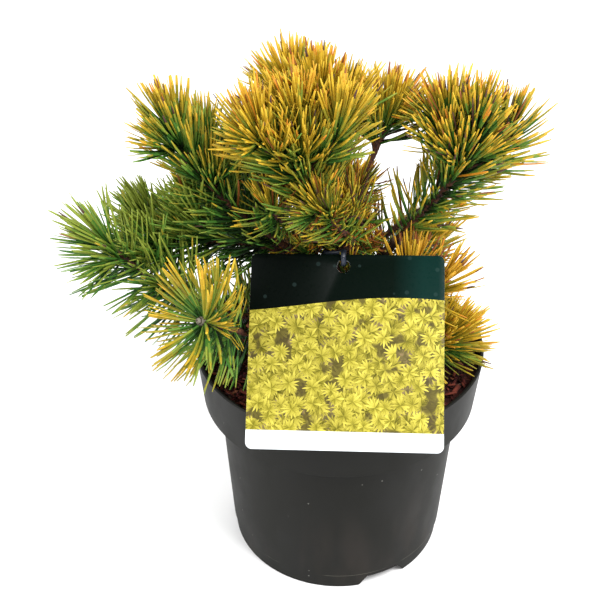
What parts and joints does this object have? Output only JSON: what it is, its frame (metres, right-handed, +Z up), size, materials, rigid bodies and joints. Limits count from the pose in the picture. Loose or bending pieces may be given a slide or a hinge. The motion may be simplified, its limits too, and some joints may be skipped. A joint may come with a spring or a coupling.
{
  "type": "potted mugo pine",
  "caption": "Young golden mugo pine with upswept needle tufts, in a round stepped-rim nursery pot with a card tied to its trunk.",
  "frame": {"origin": "centre of the pot's flat underside, on the surface that the pot stands on", "axes": "+Z up along the pot's axis, -Y towards the side where the card leans on the rim, +X to that side's right"},
  "size_m": [0.2948, 0.2405, 0.3592],
  "materials": {
    "pot_plastic": "dark grey moulded plastic, satin",
    "bark_soil": "red-brown bark substrate, rough",
    "printed_card": "glossy printed plastic card",
    "tie_plastic": "dark soft plastic tie",
    "bark": "grey-brown flaking bark",
    "needles_gold": "golden winter needles, slight sheen",
    "needles_lime": "yellow-green needles, slight sheen",
    "needles_olive": "older olive needles, dull",
    "needles_green": "green needles, slight sheen"
  },
  "bodies": {
    "root": {"pot": "pot_plastic", "soil": "bark_soil", "card": "printed_card", "tie": "tie_plastic", "trunk": "bark", "bough_left_low": "bark", "bough_front_left": "bark", "bough_left_mid": "bark", "bough_left_top": "bark", "bough_right_up": "bark", "bough_right_low": "bark", "bough_right_rim": "bark", "bough_centre": "bark", "bough_inner_front": "bark", "bough_inner_right": "bark", "bough_inner_left": "bark", "bough_back_right": "bark", "bough_back_high": "bark", "bough_back_left_high": "bark", "bough_back_left": "bark", "bough_back": "bark", "bough_back_low_left": "bark", "bough_back_low": "bark", "bough_back_low_right": "bark", "bough_side_right": "bark", "needles_left_low": "needles_green", "needles_front_left": "needles_lime", "needles_left_mid": "needles_green", "needles_left_top": "needles_green", "needles_right_up": "needles_gold", "needles_right_low": "needles_gold", "needles_right_rim": "needles_gold", "needles_centre": "needles_gold", "needles_inner_front": "needles_olive", "needles_inner_right": "needles_olive", "needles_inner_left": "needles_olive", "needles_back_right": "needles_gold", "needles_top": "needles_gold", "needles_back_high": "needles_gold", "needles_back_left_high": "needles_gold", "needles_back_left": "needles_green", "needles_back": "needles_gold", "needles_back_low_left": "needles_green", "needles_back_low": "needles_gold", "needles_back_low_right": "needles_gold", "needles_side_right": "needles_gold"}
  },
  "joints": []
}
